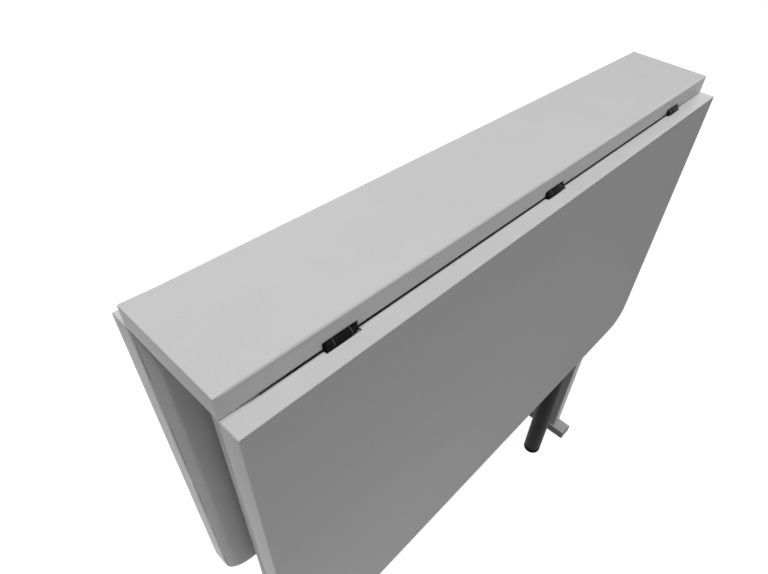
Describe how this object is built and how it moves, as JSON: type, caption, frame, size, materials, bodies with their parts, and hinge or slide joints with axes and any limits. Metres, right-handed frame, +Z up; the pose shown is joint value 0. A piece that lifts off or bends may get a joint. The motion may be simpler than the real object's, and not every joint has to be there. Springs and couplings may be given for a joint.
{
  "type": "drop-leaf gateleg table",
  "caption": "Free-standing drop-leaf table, folded: narrow fixed top on end panels with foot bars, hanging leaves on butt hinges and folded tubular gate legs.",
  "frame": {"origin": "on the floor, under the middle of the top", "axes": "+X along the top, +Y from the near leaf to the far leaf, +Z up"},
  "size_m": [0.7, 0.1392, 0.738],
  "materials": {
    "light_laminated_board": "satin laminate",
    "black_burnished_steel": "satin black",
    "zinc_plated_steel": "zinc plated",
    "bright_zinc_screw": "bright zinc",
    "grey_lacquered_tube": "satin lacquer",
    "black_moulded_plastic": "matte moulded"
  },
  "bodies": {
    "frame": {"far_gate_foot_cap": "black_moulded_plastic", "far_gate_leg": "grey_lacquered_tube", "far_gate_lower_bracket": "zinc_plated_steel", "far_gate_lower_rail": "grey_lacquered_tube", "far_gate_pivot_tube": "grey_lacquered_tube", "far_gate_top_cap": "black_moulded_plastic", "far_gate_upper_bracket": "zinc_plated_steel", "far_gate_upper_rail": "grey_lacquered_tube", "far_left_hinge_pin": "zinc_plated_steel", "far_left_hinge_top_flap": "black_burnished_steel", "far_middle_hinge_pin": "zinc_plated_steel", "far_middle_hinge_top_flap": "black_burnished_steel", "far_right_hinge_pin": "zinc_plated_steel", "far_right_hinge_top_flap": "black_burnished_steel", "left_end_panel": "light_laminated_board", "left_far_corner_bracket": "zinc_plated_steel", "left_far_foot_glide": "black_moulded_plastic", "left_far_foot_screw": "bright_zinc_screw", "left_foot_bar": "light_laminated_board", "left_lower_panel_screw": "bright_zinc_screw", "left_near_corner_bracket": "zinc_plated_steel", "left_near_foot_glide": "black_moulded_plastic", "left_near_foot_screw": "bright_zinc_screw", "left_upper_panel_screw": "bright_zinc_screw", "lower_stretcher": "light_laminated_board", "near_gate_foot_cap": "black_moulded_plastic", "near_gate_leg": "grey_lacquered_tube", "near_gate_lower_bracket": "zinc_plated_steel", "near_gate_lower_rail": "grey_lacquered_tube", "near_gate_pivot_tube": "grey_lacquered_tube", "near_gate_top_cap": "black_moulded_plastic", "near_gate_upper_bracket": "zinc_plated_steel", "near_gate_upper_rail": "grey_lacquered_tube", "near_left_hinge_pin": "zinc_plated_steel", "near_left_hinge_top_flap": "black_burnished_steel", "near_middle_hinge_pin": "zinc_plated_steel", "near_middle_hinge_top_flap": "black_burnished_steel", "near_right_hinge_pin": "zinc_plated_steel", "near_right_hinge_top_flap": "black_burnished_steel", "right_end_panel": "light_laminated_board", "right_far_corner_bracket": "zinc_plated_steel", "right_far_foot_glide": "black_moulded_plastic", "right_far_foot_screw": "bright_zinc_screw", "right_foot_bar": "light_laminated_board", "right_lower_panel_screw": "bright_zinc_screw", "right_near_corner_bracket": "zinc_plated_steel", "right_near_foot_glide": "black_moulded_plastic", "right_near_foot_screw": "bright_zinc_screw", "right_upper_panel_screw": "bright_zinc_screw", "top": "light_laminated_board", "upper_stretcher": "light_laminated_board"},
    "near_leaf": {"near_leaf": "light_laminated_board", "near_left_hinge_leaf_flap": "black_burnished_steel", "near_middle_hinge_leaf_flap": "black_burnished_steel", "near_right_hinge_leaf_flap": "black_burnished_steel"},
    "far_leaf": {"far_leaf": "light_laminated_board", "far_left_hinge_leaf_flap": "black_burnished_steel", "far_middle_hinge_leaf_flap": "black_burnished_steel", "far_right_hinge_leaf_flap": "black_burnished_steel"}
  },
  "joints": [
    {"name": "near_leaf_hinge", "type": "hinge", "parent": "frame", "child": "near_leaf", "pos_m": [0, -0.0508, 0.7192], "axis": [-1, 0, 0], "range_deg": [0, 90]},
    {"name": "far_leaf_hinge", "type": "hinge", "parent": "frame", "child": "far_leaf", "pos_m": [0, 0.0508, 0.7192], "axis": [1, 0, 0], "range_deg": [0, 90]}
  ]
}
